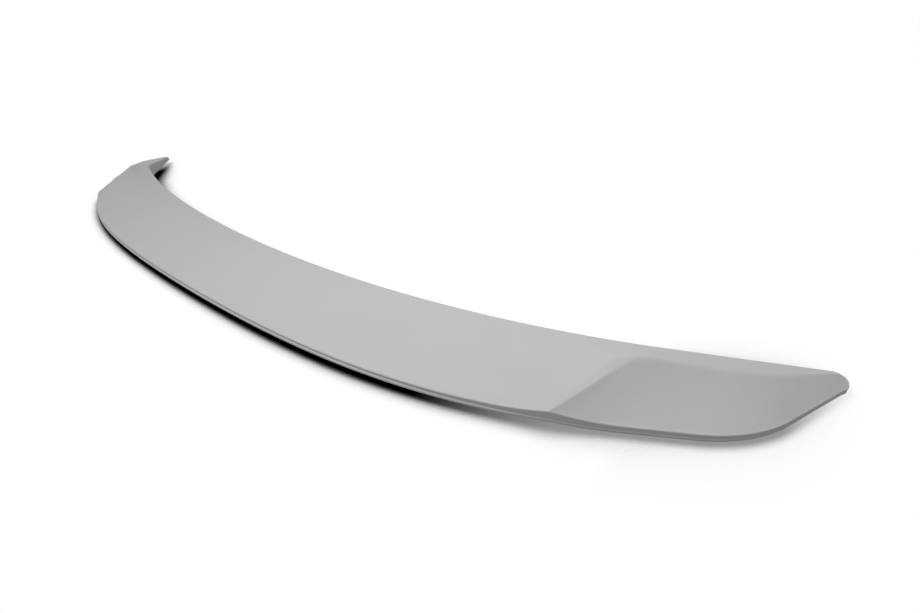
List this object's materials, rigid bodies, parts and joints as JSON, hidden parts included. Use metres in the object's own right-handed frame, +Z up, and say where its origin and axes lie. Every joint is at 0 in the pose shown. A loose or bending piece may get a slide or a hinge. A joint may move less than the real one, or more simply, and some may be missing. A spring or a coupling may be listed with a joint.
{
  "type": "trunk spoiler",
  "caption": "Low crescent lip spoiler for a trunk lid, one grey primed moulding with creased wings that turn forward and down at both ends.",
  "frame": {"origin": "on the floor plane under the middle of the part's box", "axes": "+X to the part's right as seen from behind the car, +Y forward towards the leading edge and tips, +Z up"},
  "size_m": [1.2274, 0.26, 0.0386],
  "materials": {
    "primed_plastic": "matt light grey primer, ready for paint"
  },
  "bodies": {
    "root": {"spoiler": "primed_plastic"}
  },
  "joints": []
}
